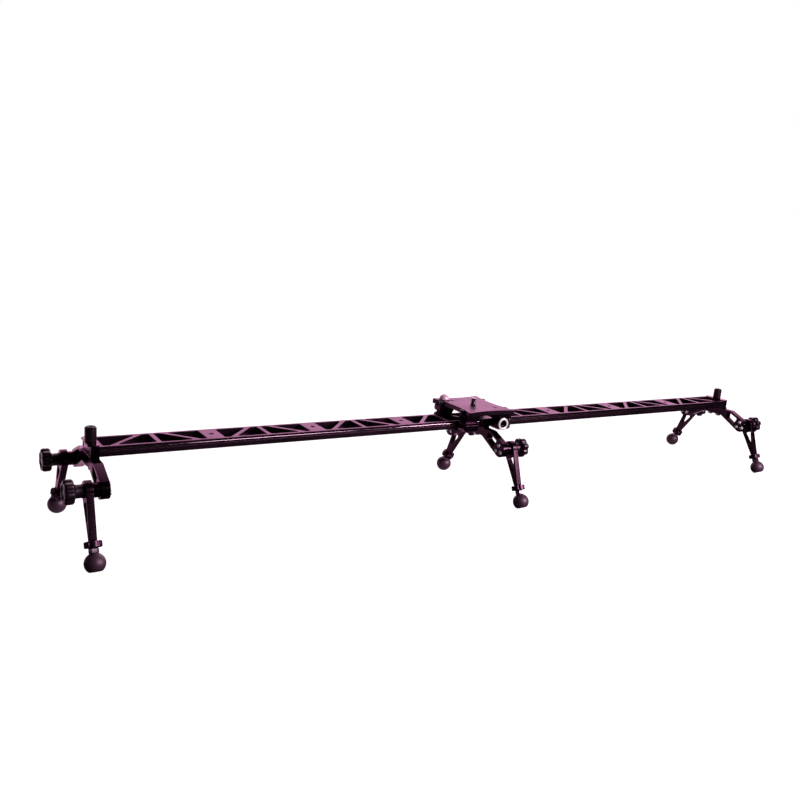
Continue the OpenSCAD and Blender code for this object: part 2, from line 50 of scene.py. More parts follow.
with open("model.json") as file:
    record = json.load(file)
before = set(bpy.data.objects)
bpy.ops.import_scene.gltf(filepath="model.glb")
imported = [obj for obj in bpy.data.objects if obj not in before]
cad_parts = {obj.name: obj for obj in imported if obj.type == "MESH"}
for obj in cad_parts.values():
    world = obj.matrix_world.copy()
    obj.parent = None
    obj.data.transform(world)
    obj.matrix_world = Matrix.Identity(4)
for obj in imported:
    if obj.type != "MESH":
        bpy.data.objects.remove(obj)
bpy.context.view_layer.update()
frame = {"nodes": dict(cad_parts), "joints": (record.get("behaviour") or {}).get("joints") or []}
nodes = frame["nodes"]
joints = {joint["name"]: joint for joint in frame["joints"]}


# ---- measuring the frame ----

def span(points, origin, axis):
    """Least and greatest distance of points from origin along axis."""
    along = [(point - origin).dot(axis) for point in points]
    return min(along), max(along)


def off_axis(point, origin, axis):
    """Distance of a point from the line through origin along axis."""
    arm = point - origin
    return (arm - axis * arm.dot(axis)).length


def points_of(node):
    """A CAD node's points."""
    return [vertex.co for vertex in nodes[node].data.vertices]


def middle(node):
    """The centre of a CAD node's box."""
    low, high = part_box(node)
    return (low + high) / 2


def islands(node):
    """The separate solids of a CAD node, each as a list of points."""
    mesh = nodes[node].data
    parent = {}

    def root(key):
        while parent[key] != key:
            parent[key] = parent[parent[key]]
            key = parent[key]
        return key

    keys = [tuple(round(value / (0.01 * MM)) for value in vertex.co) for vertex in mesh.vertices]
    for key in keys:
        parent.setdefault(key, key)
    for edge in mesh.edges:
        first, second = (root(keys[index]) for index in edge.vertices)
        parent[first] = second
    groups = {}
    for key, vertex in zip(keys, mesh.vertices):
        groups.setdefault(root(key), []).append(vertex.co)
    return [groups[key] for key in sorted(groups)]


def placing(origin, axis):
    """Matrix whose local Z runs along axis from origin."""
    turn = axis.to_track_quat("Z", "Y")
    return Matrix.Translation(origin) @ turn.to_matrix().to_4x4()


# ---- shader building ----

class Shader:
    """Short calls for the nodes that finishes and light are made of."""

    def __init__(self, tree):
        self.tree = tree

    def add(self, kind, **settings):
        """A new node of a kind, with its settings made."""
        node = self.tree.nodes.new(kind)
        for name, value in settings.items():
            setattr(node, name, value)
        return node

    def feed(self, socket, value):
        """Gives an input a fixed value, or the output of another node."""
        if isinstance(value, bpy.types.NodeSocket):
            self.tree.links.new(value, socket)
        else:
            socket.default_value = value

    def noise(self, size, detail=4.0, stretch=(1, 1, 1)):
        """Cloudy noise from 0 to 1 whose blobs are about size across, drawn out by stretch."""
        mapping = self.add("ShaderNodeMapping")
        self.feed(mapping.inputs["Vector"], self.place)
        mapping.inputs["Scale"].default_value = [1 / (size * each) for each in stretch]
        noise = self.add("ShaderNodeTexNoise")
        self.feed(noise.inputs["Vector"], mapping.outputs["Vector"])
        noise.inputs["Scale"].default_value = 1.0
        noise.inputs["Detail"].default_value = detail
        return noise.outputs["Fac"]

    def between(self, value, low, high, start=0.0, end=1.0):
        """start where value is low or less, end where it is high or more."""
        node = self.add("ShaderNodeMapRange", clamp=True)
        self.feed(node.inputs["Value"], value)
        for name, limit in (("From Min", low), ("From Max", high), ("To Min", start), ("To Max", end)):
            node.inputs[name].default_value = limit
        return node.outputs["Result"]

    def math(self, operation, first, second):
        node = self.add("ShaderNodeMath", operation=operation)
        self.feed(node.inputs[0], first)
        self.feed(node.inputs[1], second)
        return node.outputs["Value"]

    def mix(self, share, first, second):
        """Value first where share is 0, and second where it is 1."""
        node = self.add("ShaderNodeMix", data_type="FLOAT")
        for socket, value in zip(node.inputs[:1] + node.inputs[2:4], (share, first, second)):
            self.feed(socket, value)
        return node.outputs[0]

    def blend(self, share, first, second):
        """Colour first where share is 0, and second where it is 1."""
        node = self.add("ShaderNodeMix", data_type="RGBA")
        self.feed(node.inputs["Factor"], share)
        for socket, colour in ((node.inputs[6], first), (node.inputs[7], second)):
            self.feed(socket, colour if isinstance(colour, bpy.types.NodeSocket) else (*colour, 1))
        return node.outputs[2]

    def seen_by_camera(self):
        """1 for what the camera sees itself, 0 for what only lights or mirrors in a part."""
        return self.add("ShaderNodeLightPath").outputs["Is Camera Ray"]


class Finish(Shader):
    """A material on a surface."""

    def __init__(self, name):
        self.material = bpy.data.materials.new(name)
        self.material.use_nodes = True
        super().__init__(self.material.node_tree)
        self.surface = self.tree.nodes["Principled BSDF"]
        self.place = self.add("ShaderNodeTexCoord").outputs["Object"]

    def set(self, **values):
        """Sets the surface's inputs, named with _ for a space."""
        for name, value in values.items():
            self.feed(self.surface.inputs[name.replace("_", " ")], value)

    def edges(self, width):
        """1 on edges, falling to 0 within width of them."""
        bevel = self.add("ShaderNodeBevel", samples=4)
        bevel.inputs["Radius"].default_value = width
        shape = self.add("ShaderNodeNewGeometry")
        dot = self.add("ShaderNodeVectorMath", operation="DOT_PRODUCT")
        self.feed(dot.inputs[0], bevel.outputs["Normal"])
        self.feed(dot.inputs[1], shape.outputs["Normal"])
        return self.between(dot.outputs["Value"], 0.98, 0.80)

    def bump(self, height, depth, strength=0.5):
        """Roughens the surface by height, from 0 to 1, over depth."""
        node = self.add("ShaderNodeBump")
        node.inputs["Strength"].default_value = strength
        node.inputs["Distance"].default_value = depth
        self.feed(node.inputs["Height"], height)
        self.feed(self.surface.inputs["Normal"], node.outputs["Normal"])


def scaled(colour, factor):
    """A colour made lighter or darker by factor."""
    return tuple(value * factor for value in colour)


# ---- finishes ----

MAUVE = (0.96, 0.72, 0.88)            # tint of a dark coat seen at a low angle
BARE_METAL = (0.42, 0.37, 0.40)
DYE = (0.022, 0.011, 0.018)           # of the anodised coats
KNOB_BLACK = (0.007, 0.003, 0.0055)
POST_BLACK = (0.006, 0.0026, 0.0048)
RUBBER = (0.026, 0.012, 0.022)
TURNED_STEEL = (0.22, 0.18, 0.20)
POLISHED_STEEL = (0.66, 0.72, 0.69)
GROUND_STEEL = (0.15, 0.11, 0.13)
BRIGHT_PLATING = (0.76, 0.84, 0.80)
BLACK_OXIDE = (0.045, 0.032, 0.040)
LIQUID_DEEP = (0.42, 0.29, 0.35)
LIQUID_PALE = (0.52, 0.37, 0.44)
LEVEL_RING = (0.03, 0.02, 0.03)
BUBBLE = (0.60, 0.52, 0.56)


def anodised(name, dye, rough, grain=0.35 * MM, drawn=(1, 1, 1), wear=0.35):
    """Dyed anodised aluminium: bead-blasted grain, drawn out along an extrusion, worn edges."""
    finish = Finish(name)
    cloud = finish.noise(45 * MM, 5)
    blast = finish.noise(grain, 2, drawn)
    scuffs = finish.between(finish.noise(6 * MM, 6, (3, 1, 1)), 0.60, 0.78)
    coat = finish.blend(cloud, scaled(dye, 0.75), scaled(dye, 1.3))
    coat = finish.blend(finish.math("MULTIPLY", scuffs, 0.25), coat, scaled(dye, 3))
    rubbed = finish.between(finish.noise(3 * MM, 5), 0.35, 0.75)
    worn = finish.math("MULTIPLY", finish.edges(0.5 * MM), finish.math("MULTIPLY", rubbed, wear))
    finish.set(
        Base_Color=finish.blend(worn, coat, BARE_METAL),
        Metallic=1.0,
        Specular_Tint=(*MAUVE, 1),
        Roughness=finish.math(
            "ADD", finish.between(cloud, 0.3, 0.7, rough - 0.05, rough + 0.05),
            finish.between(blast, 0.3, 0.7, -0.03, 0.03)),
    )
    finish.bump(blast, 0.02 * MM)
    return finish.material


def bare_metal(name, colour, rough, metal=1.0, grain=0.3 * MM, drawn=(1, 1, 1)):
    """Turned, ground or plated metal with fine tool marks and a few dull patches. A satin
    plating scatters part of its light, which lowers metal."""
    finish = Finish(name)
    marks = finish.noise(grain, 3, drawn)
    dull = finish.noise(7 * MM, 5)
    finish.set(
        Base_Color=finish.blend(dull, colour, scaled(colour, 0.78)),
        Metallic=metal,
        Roughness=finish.between(dull, 0.35, 0.75, rough, rough + 0.12),
    )
    finish.bump(marks, 0.01 * MM, 0.4)
    return finish.material


def moulded(name, colour, rough, grain, depth, shine):
    """Moulded plastic or rubber: an even skin with grain and cloudy tone, its edges lighter in
    patches.
    """
    finish = Finish(name)
    skin = finish.noise(grain, 3)
    cloud = finish.noise(15 * MM, 4)
    shade = finish.blend(cloud, scaled(colour, 0.85), scaled(colour, 1.2))
    rubbed = finish.math("MULTIPLY", finish.edges(0.8 * MM), finish.between(cloud, 0.3, 0.7, 0.2, 0.5))
    finish.set(
        Base_Color=finish.blend(rubbed, shade, scaled(colour, 2.2)),
        Roughness=finish.between(cloud, 0.3, 0.7, rough - 0.06, rough + 0.06),
        Specular_IOR_Level=shine,
        Specular_Tint=(*MAUVE, 1),
    )
    finish.bump(skin, depth, 0.6)
    return finish.material


def level_lens(name, centre):
    """Tinted liquid under a clear dome, with a bubble and the ring it sits in."""
    finish = Finish(name)
    offset = finish.add("ShaderNodeVectorMath", operation="SUBTRACT")
    finish.feed(offset.inputs[0], finish.place)
    offset.inputs[1].default_value = centre
    flat = finish.add("ShaderNodeVectorMath", operation="MULTIPLY")
    finish.feed(flat.inputs[0], offset.outputs["Vector"])
    flat.inputs[1].default_value = (1, 1, 0)
    length = finish.add("ShaderNodeVectorMath", operation="LENGTH")
    finish.feed(length.inputs[0], flat.outputs["Vector"])
    distance = length.outputs["Value"]
    ring_inner = 1.9 * MM
    ring_outer = 2.35 * MM
    bubble_r = 1.45 * MM
    liquid = finish.blend(finish.noise(3 * MM, 2), LIQUID_DEEP, LIQUID_PALE)
    outside = finish.between(distance, ring_inner, ring_inner + 0.1 * MM)
    inside = finish.between(distance, ring_outer, ring_outer - 0.1 * MM)
    ring = finish.math("MULTIPLY", outside, inside)
    bubble = finish.between(distance, bubble_r, bubble_r - 0.35 * MM)
    colour = finish.blend(ring, liquid, LEVEL_RING)
    finish.set(
        Base_Color=finish.blend(bubble, colour, BUBBLE),
        Roughness=0.12,
        Coat_Weight=0.3,
        Coat_Roughness=0.03,
    )
    return finish.material


rail_finish = anodised("rail_anodised", DYE, 0.36, drawn=(60, 1, 1))
plate_finish = anodised("plate_anodised", DYE, 0.36)
black_finish = anodised("black_anodised", scaled(DYE, 0.6), 0.19)
leg_finish = anodised("leg_anodised", DYE, 0.26, wear=0.5)
nut_finish = anodised("nut_anodised", scaled(DYE, 1.4), 0.30, wear=0.6)
knob_finish = moulded("knob_plastic", KNOB_BLACK, 0.32, 0.5 * MM, 0.03 * MM, 0.3)
post_finish = moulded("post_black", POST_BLACK, 0.40, 0.4 * MM, 0.03 * MM, 0.15)
rubber_finish = moulded("ball_rubber", RUBBER, 0.46, 0.6 * MM, 0.05 * MM, 0.6)
steel_finish = bare_metal("turned_steel", TURNED_STEEL, 0.26, drawn=(1, 1, 0.2))
polish_finish = bare_metal("polished_steel", POLISHED_STEEL, 0.30, metal=0.4)
rod_finish = bare_metal("ground_steel", GROUND_STEEL, 0.06, grain=3 * MM, drawn=(80, 1, 1))
bright_finish = bare_metal("bright_plated", BRIGHT_PLATING, 0.32, metal=0.4)
oxide_finish = bare_metal("black_oxide", BLACK_OXIDE, 0.35)


# ---- mesh building ----

FLUTES = 24
FLUTE_FLOOR = 0.988
THREAD_ROWS = 6                       # rings per turn of a thread
SHARPER = math.radians(38)            # edges sharper than this aren't shaded smooth


def round_shape(angle):
    return 1.0


def hex_shape(angle):
    """Hexagon whose corners are at the full radius."""
    half = HEX_SECTOR / 2
    return math.cos(half) / math.cos(angle % HEX_SECTOR - half)


def knurl_shape(angle):
    """Shallow flutes round a screw's head."""
    return FLUTE_FLOOR if angle * FLUTES / TURN % 1 < 0.5 else 1.0


def turned(bm, profile, steps=48, loop=False, material=0, twist=None):
    """Skins a shape turned about local Z. A profile point is (radius, height) or
    (radius, height, shape), where shape(angle) scales the radius round the ring."""
    rings = []
    for radius, height, *shape in profile:
        shape = shape[0] if shape else round_shape
        ring = []
        for step in range(steps):
            angle = step * TURN / steps
            reach = radius * shape(angle)
            ring.append(bm.verts.new((reach * math.cos(angle), reach * math.sin(angle), height)))
        rings.append(ring)
    pairs = list(zip(rings, rings[1:]))
    if loop:
        pairs.append((rings[-1], rings[0]))
    for lower, upper in pairs:
        for step in range(steps):
            after = (step + 1) % steps
            face = bm.faces.new((lower[step], lower[after], upper[after], upper[step]))
            face.material_index = material


def filleted(outline, radius, steps=3):
    """An open outline of (x, z) points whose inner corners are rounded."""
    rounded = [outline[0]]
    for before, corner, after in zip(outline, outline[1:], outline[2:]):
        here = Vector(corner)
        back, ahead = Vector(before) - here, Vector(after) - here
        cut = min(radius, back.length * 0.45, ahead.length * 0.45)
        start, end = here + back.normalized() * cut, here + ahead.normalized() * cut
        for step in range(steps + 1):
            share = step / steps
            rounded.append(tuple(
                start * (1 - share) ** 2 + here * 2 * share * (1 - share) + end * share ** 2))
    rounded.append(outline[-1])
    return rounded


def threaded(bm, radius, start, end, pitch, depth, steps=32, material=0):
    """Skins a screw thread about local Z from start to end."""
    count = max(2, round((end - start) / pitch * THREAD_ROWS))
    profile = []
    for row in range(count + 1):
        height = start + (end - start) * row / count

        def groove(angle, height=height):
            phase = (height / pitch - angle / TURN) % 1
            return 1 - depth / radius * abs(2 * phase - 1)

        profile.append((radius, height, groove))
    turned(bm, profile, steps, material=material)


def piece(name, bm, matrix, materials, body, cad_nodes):
    """Turns a built shape into a piece that rides on body and stands for cad_nodes."""
    bmesh.ops.remove_doubles(bm, verts=bm.verts, dist=0.002 * MM)
    bmesh.ops.recalc_face_normals(bm, faces=bm.faces)
    mesh = bpy.data.meshes.new(name)
    bm.to_mesh(mesh)
    bm.free()
    mesh.transform(matrix)
    mesh.shade_smooth()
    mesh.set_sharp_from_angle(angle=SHARPER)
    for material in materials:
        mesh.materials.append(material)
    made = bpy.data.objects.new(name, mesh)
    bpy.context.scene.collection.objects.link(made)
    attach(made, body)
    if cad_nodes:
        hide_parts(*cad_nodes)
    return made


# ---- screws ----

# Parts of a socket head, as shares of its radius or of its height.
SOCKET_WIDE = 0.52
SOCKET_DEEP = 0.6
HEAD_EDGE = 0.12
LEFT_OF_MIDDLE = -0.1                 # x that parts the left arch's screws from the others'


def add_cap_screw(bm, points, axis):
    """Adds a socket head screw in place of a CAD screw. axis points out of its head."""
    low, high = (Vector(pick(values) for values in zip(*points)) for pick in (min, max))
    centre = (low + high) / 2
    tip, top = span(points, centre, axis)
    head_r = max(off_axis(point, centre, axis) for point in points)
    shaft_r = max(
        off_axis(point, centre, axis) for point in points
        if (point - centre).dot(axis) < tip + NEARLY)
    head_base = min(
        (point - centre).dot(axis) for point in points
        if off_axis(point, centre, axis) > head_r - NEARLY)
    socket_r = head_r * SOCKET_WIDE
    edge = head_r * HEAD_EDGE
    floor = top - (top - head_base) * SOCKET_DEEP
    outer = filleted([
        (0, tip), (shaft_r - edge, tip), (shaft_r, tip + edge), (shaft_r, head_base),
        (head_r, head_base)], edge)
    side = [
        (head_r, head_base + edge, knurl_shape), (head_r, top - 2.4 * edge, knurl_shape)]
    crown = [
        (head_r * 0.97, top - edge), (head_r * 0.90, top - 0.25 * edge), (head_r * 0.80, top),
        (socket_r + 0.8 * edge, top), (socket_r + 0.1 * edge, top - 0.5 * edge, hex_shape),
        (socket_r, top - edge, hex_shape), (socket_r, floor, hex_shape),
        (0, floor - 0.3 * socket_r)]
    made = bmesh.new()
    turned(made, outer + side + crown)
    bmesh.ops.transform(made, matrix=placing(centre, axis), verts=made.verts)
    mesh = bpy.data.meshes.new("one_screw")
    made.to_mesh(mesh)
    made.free()
    bm.from_mesh(mesh)
    bpy.data.meshes.remove(mesh)


def screw_set(node, axis_for, finish, body):
    """Details all the screws of one CAD node. axis_for gives the way a screw's head faces."""
    bm = bmesh.new()
    for points in islands(node):
        add_cap_screw(bm, points, axis_for(points))
    piece(node + "_detail", bm, Matrix(), [finish], body, [node])


def away_from_knob(points):
    """Along the rail, towards the face of the screw's arch that has no knob."""
    return ALONG * (1 if points[0].x < LEFT_OF_MIDDLE else -1)


def endward(points):
    """Along the rail, out of its nearer end."""
    return ALONG * math.copysign(1, points[0].x)


screw_set("hub_screws", away_from_knob, bright_finish, "frame")
screw_set("arch_bolts", lambda points: -UP, bright_finish, "frame")
screw_set("end_cap_screws", endward, oxide_finish, "frame")
screw_set("stop_post_screws", lambda points: UP, oxide_finish, "frame")
screw_set("bracket_screws", lambda points: UP, oxide_finish, "carriage")
screw_set("roller_axles", lambda points: -UP, steel_finish, "carriage")


# ---- clamp knobs ----

KNOB_LOBES = 7
KNOB_VALLEY = 0.21                    # depth of the valleys, as a share of the radius
KNOB_SLEEVE = 11 * MM                 # length of the plain sleeve under the lobes
KNOB_SLEEVE_WIDE = 0.56               # its radius, as a share of the knob's
KNOB_BORE_R = 4.1 * MM
KNOB_STEPS = 84


def knob_shape(angle):
    """Rounded petals with narrow valleys between them."""
    swing = math.cos(KNOB_LOBES * angle / 2)
    return 1 - KNOB_VALLEY * (1 - math.sqrt((swing * swing + 0.05) / 1.05))


def clamp_knob(leg):
    """Lobed knob with a dished face, on the sleeve that clamps the leg."""
    node = "clamp_knob_" + leg
    centre = middle(node)
    axis = ALONG * (-1 if "left" in leg else 1)
    bottom, top = span(points_of(node), centre, axis)
    radius = max(off_axis(point, centre, axis) for point in points_of(node))
    base = bottom + KNOB_SLEEVE
    sleeve_r = radius * KNOB_SLEEVE_WIDE
    bm = bmesh.new()
    turned(bm, filleted([
        (KNOB_BORE_R, base), (KNOB_BORE_R, bottom), (sleeve_r, bottom),
        (sleeve_r, bottom + 2.2 * MM),
        (sleeve_r - 0.5 * MM, bottom + 2.7 * MM), (sleeve_r - 0.5 * MM, base - 2 * MM),
        (sleeve_r + 1.2 * MM, base)], 0.5 * MM), KNOB_STEPS)
    lobed = filleted([
        (sleeve_r + 1.2 * MM, base), (radius - 2.2 * MM, base + 0.2 * MM),
        (radius - 0.2 * MM, base + 2.2 * MM), (radius, top - 2.6 * MM),
        (radius - 1.8 * MM, top - 0.2 * MM), (radius - 4.2 * MM, top)], 0.8 * MM)
    turned(bm, [
        (r, z, knob_shape if index else round_shape)
        for index, (r, z) in enumerate(lobed)], KNOB_STEPS)
    dish = filleted([
        (radius - 5.4 * MM, top - 0.3 * MM), (radius - 6.2 * MM, top - 1.4 * MM),
        (4.6 * MM, top - 1.6 * MM), (4.2 * MM, top - 0.9 * MM), (0, top - 0.6 * MM)], 0.5 * MM)
    turned(bm, [(*lobed[-1], knob_shape)] + dish, KNOB_STEPS)
    piece(node + "_detail", bm, placing(centre, axis), [knob_finish], node, [node])


for leg in LEGS:
    clamp_knob(leg)


# ---- feet ----

def leg_line(leg):
    """The leg's pivot and the direction down its length."""
    pivot = Vector(joints[f"leg_{leg}_swing"]["pos_m"])
    down = Vector(joints[f"foot_{leg}_reach"]["axis"]).normalized()
    return pivot, down


def lock_nut(leg):
    """Thumb nut with six ears, chamfered on both faces round a low boss."""
    node = "lock_nut_" + leg
    pivot, down = leg_line(leg)
    start, end = span(points_of(node), pivot, down)
    radius = max(off_axis(point, pivot, down) for point in points_of(node))
    notch_r = 2.4 * MM
    notch_at = radius + 0.7 * MM

    def eared(angle):
        """Circle with six round notches cut into it."""
        half = HEX_SECTOR / 2
        across = math.sin((angle + half) % HEX_SECTOR - half) * notch_at
        if abs(across) >= notch_r:
            return 1.0
        near = math.sqrt(notch_at ** 2 - across ** 2) - math.sqrt(notch_r ** 2 - across ** 2)
        return min(1.0, near / radius)

    chamfer = 0.9 * MM
    boss_r = radius * 0.66
    bm = bmesh.new()
    turned(bm, [
        (BORE_R, start), (boss_r, start), (boss_r + 0.2 * MM, start + 0.2 * MM),
        (radius - chamfer, start + 0.25 * MM, eared), (radius, start + chamfer, eared),
        (radius, end - chamfer, eared), (radius - chamfer, end - 0.25 * MM, eared),
        (boss_r + 0.2 * MM, end - 0.2 * MM), (boss_r, end), (BORE_R, end)], 120, loop=True)
    piece(node + "_detail", bm, placing(pivot, down), [nut_finish], node, [node])


def foot_stud(leg):
    """Threaded stud and hexagonal neck, chamfered at both ends."""
    node = "foot_stud_" + leg
    pivot, down = leg_line(leg)
    points = points_of(node)
    start, end = span(points, pivot, down)
    neck_r = max(off_axis(point, pivot, down) for point in points)
    neck = [point for point in points if off_axis(point, pivot, down) > neck_r - NEARLY]
    neck_start, neck_end = span(neck, pivot, down)
    thread_start = neck_start - 20 * MM
    flat_r = neck_r * math.cos(HEX_SECTOR / 2)
    bm = bmesh.new()
    turned(bm, [
        (0, start), (THREAD_R - 0.5 * MM, start), (THREAD_R, start + 0.5 * MM),
        (THREAD_R, thread_start)])
    threaded(bm, THREAD_R, thread_start, neck_start, pitch=1.0 * MM, depth=0.55 * MM, steps=48)
    turned(bm, [
        (THREAD_R, neck_start), (flat_r - 0.2 * MM, neck_start),
        (neck_r - 0.1 * MM, neck_start + 0.6 * MM, hex_shape),
        (neck_r, neck_start + 0.9 * MM, hex_shape), (neck_r, neck_end - 0.9 * MM, hex_shape),
        (neck_r - 0.1 * MM, neck_end - 0.6 * MM, hex_shape), (flat_r - 0.2 * MM, neck_end),
        (THREAD_R, neck_end), (THREAD_R, end), (0, end)])
    piece(node + "_detail", bm, placing(pivot, down), [steel_finish], "foot_" + leg, [node])


def foot_ball(leg):
    """Rubber ball with a rounded sole and the fine seam its mould leaves."""
    node = "foot_ball_" + leg
    pivot, down = leg_line(leg)
    points = points_of(node)
    low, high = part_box(node)
    radius = (high.x - low.x) / 2
    along = ((low.y + high.y) / 2 - pivot.y) / down.y
    seat, sole = (distance - along for distance in span(points, pivot, down))
    first = math.acos(max(-1.0, seat / radius))
    last = math.acos(sole / radius)
    steps = 28
    arc = []
    for step in range(steps + 1):
        angle = first + (last - first) * step / steps
        seam = 0.12 * MM if step == steps // 2 else 0
        arc.append((radius * math.sin(angle) + seam, radius * math.cos(angle)))
    sole_r = arc[-1][0]
    arc = arc[:-1] + [
        (sole_r - 0.1 * MM, sole - 0.15 * MM), (sole_r - 0.8 * MM, sole),
        (sole_r - 2.0 * MM, sole), (sole_r - 2.6 * MM, sole - 0.5 * MM), (0, sole - 0.6 * MM)]
    socket_r = 3.2 * MM
    socket = seat + 2 * MM
    bm = bmesh.new()
    turned(bm, [(0, socket), (socket_r, socket), (socket_r, seat)] + arc, 64)
    piece(node + "_detail", bm, placing(pivot + down * along, down), [rubber_finish],
          "foot_" + leg, [node])


for leg in LEGS:
    lock_nut(leg)
    foot_stud(leg)
    foot_ball(leg)


# ---- stop posts ----

def stop_post(end):
    """Bumper post with a rolled lip and a seat for its screw."""
    node = "stop_post_" + end
    low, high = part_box(node)
    centre = (low + high) / 2
    radius = (high.x - low.x) / 2
    tall = high.z - low.z
    seat_r = 5 * MM
    seat = tall - 4.2 * MM
    outline = [
        (BORE_R, 0), (radius - 0.4 * MM, 0), (radius, 0.5 * MM), (radius, tall - 4.4 * MM),
        (radius - 0.35 * MM, tall - 4.1 * MM), (radius - 0.35 * MM, tall - 3.7 * MM),
        (radius, tall - 3.4 * MM), (radius, tall - 1.6 * MM), (radius - 1.6 * MM, tall),
        (seat_r + 0.3 * MM, tall), (seat_r, tall - 0.3 * MM), (seat_r, seat), (BORE_R, seat)]
    bm = bmesh.new()
    turned(bm, [outline[0]] + filleted(outline[1:-1], 0.25 * MM) + [outline[-1]], 64, loop=True)
    piece(node + "_detail", bm, Matrix.Translation((centre.x, centre.y, low.z)), [post_finish],
          "frame", [node])


for end in ENDS:
    stop_post(end)


# ---- carriage fittings ----

def head_stud():
    """Bolt with a hexagonal head under the plate and a 3/8 inch thread above it."""
    centre = middle("head_stud")
    centre.z = 0
    low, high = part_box("head_stud")
    plate_low, plate_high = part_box("carriage_plate")
    major = 4.76 * MM
    shank = 5.16 * MM
    pitch = 25.4 / 16 * MM
    hex_r = (high.x - low.x) / 2
    tip = 1.2 * MM
    bm = bmesh.new()
    turned(bm, [
        (0, low.z), (hex_r * 0.84, low.z), (hex_r, low.z + 0.7 * MM, hex_shape),
        (hex_r, plate_low.z, hex_shape), (shank, plate_low.z), (shank, plate_high.z),
        (major, plate_high.z)])
    threaded(bm, major, plate_high.z, high.z - tip, pitch, 0.9 * MM, 48)
    turned(bm, [(major, high.z - tip), (major - tip, high.z), (0, high.z)])
    piece("head_stud_detail", bm, Matrix.Translation(centre), [steel_finish], "carriage",
          ["head_stud"])


def track_roller(corner):
    """Grooved bearing: rounded rims, recessed shields and an inner ring."""
    node = "track_roller_" + corner
    low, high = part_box(node)
    radius = (high.x - low.x) / 2
    half = (high.z - low.z) / 2
    bore_r = 2.06 * MM
    groove = 2.2 * MM
    rim = 0.15 * MM
    upper = [
        (radius - groove + 0.1 * MM, 0.0), (radius - rim, groove - rim), (radius, groove + rim),
        (radius - rim, half), (radius - 1.0 * MM, half), (radius - 1.2 * MM, half - 0.35 * MM),
        (bore_r + 1.0 * MM, half - 0.35 * MM), (bore_r + 0.8 * MM, half), (bore_r, half)]
    lower = [(r, -z) for r, z in reversed(upper)]
    bm = bmesh.new()
    turned(bm, lower + upper[1:], 64, loop=True)
    piece(node + "_detail", bm, Matrix.Translation((low + high) / 2), [polish_finish], node,
          [node])


def brake_screw():
    """Knurled barrel with a polished ring face round a dark bowl and its hexagonal socket."""
    points = points_of("brake_screw")
    axis = Vector((0, -1, 0))
    centre = middle("brake_screw")
    tip, face = span(points, centre, axis)
    radius = max(off_axis(point, centre, axis) for point in points)
    barrel = [point for point in points if off_axis(point, centre, axis) > radius - NEARLY]
    base = span(barrel, centre, axis)[0]
    steps = 144
    bowl_r = 6.2 * MM
    bowl = face - 2.5 * MM
    socket_r = 3.4 * MM
    socket = bowl - 4 * MM

    def knurled(angle):
        return 1 - 0.014 * abs(math.sin(angle * 18))

    bm = bmesh.new()
    turned(bm, [
        (0, tip), (SHAFT_R - 0.4 * MM, tip), (SHAFT_R, tip + 0.4 * MM), (SHAFT_R, base),
        (radius - 0.6 * MM, base), (radius, base + 0.6 * MM, knurled),
        (radius, face - 3.2 * MM, knurled), (radius - 0.5 * MM, face - 2.8 * MM),
        (radius - 0.5 * MM, face - 2.2 * MM), (radius - 0.05 * MM, face - 1.9 * MM)], steps)
    turned(bm, [
        (radius - 0.05 * MM, face - 1.9 * MM), (radius - 0.05 * MM, face - 0.8 * MM),
        (radius - 0.3 * MM, face - 0.25 * MM), (radius - 0.8 * MM, face),
        (bowl_r + 0.5 * MM, face), (bowl_r + 0.1 * MM, face - 0.25 * MM)], steps, material=1)
    turned(bm, [
        (bowl_r + 0.1 * MM, face - 0.25 * MM), (bowl_r - 0.2 * MM, bowl + 0.5 * MM),
        (bowl_r - 0.8 * MM, bowl), (socket_r + 0.4 * MM, bowl),
        (socket_r, bowl - 0.4 * MM, hex_shape), (socket_r, socket, hex_shape),
        (0, socket - 0.8 * MM)], steps)
    piece("brake_screw_detail", bm, placing(centre, axis), [black_finish, polish_finish], "brake",
          ["brake_screw"])


def bubble_level():
    """Turned bezel let into the plate, with a domed lens in it."""
    low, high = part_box("bubble_level")
    centre = (low + high) / 2
    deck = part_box("carriage_plate")[1].z
    radius = (high.x - low.x) / 2
    dome = high.z - deck
    lens_r = radius - 0.9 * MM
    rise = 0.6 * MM
    rim = deck + rise - 0.2 * MM
    steps = 12
    bm = bmesh.new()
    turned(bm, [
        (0, low.z), (radius, low.z), (radius, rim), (radius - 0.2 * MM, deck + rise),
        (lens_r + 0.1 * MM, deck + rise), (lens_r, rim)], 64, material=1)
    crown = [
        (lens_r * math.cos(angle), rim + (dome - rise + 0.2 * MM) * math.sin(angle))
        for angle in (step * math.pi / 2 / steps for step in range(steps + 1))]
    turned(bm, crown, 64)
    lens = level_lens("level_lens", (centre.x, centre.y, deck))
    piece("bubble_level_detail", bm, Matrix.Translation((centre.x, centre.y, 0)),
          [lens, black_finish], "carriage", ["bubble_level"])


head_stud()
brake_screw()
bubble_level()
for corner in CORNERS:
    track_roller(corner)


# ---- finishes and softened edges of the CAD parts ----

BREAKABLE = math.radians(32)          # edges sharper than this are broken


def dress(node, finish, softness):
    """Gives a CAD node its finish, and breaks its sharp edges by softness."""
    part = nodes[node]
    part.data.materials.clear()
    part.data.materials.append(finish)
    weld = part.modifiers.new("weld", "WELD")
    weld.merge_threshold = 0.005 * MM
    if softness:
        bevel = part.modifiers.new("broken_edges", "BEVEL")
        bevel.width = softness
        bevel.segments = 2
        bevel.limit_method = "ANGLE"
        bevel.angle_limit = BREAKABLE
        bevel.use_clamp_overlap = False
    part.modifiers.new("even_normals", "WEIGHTED_NORMAL")


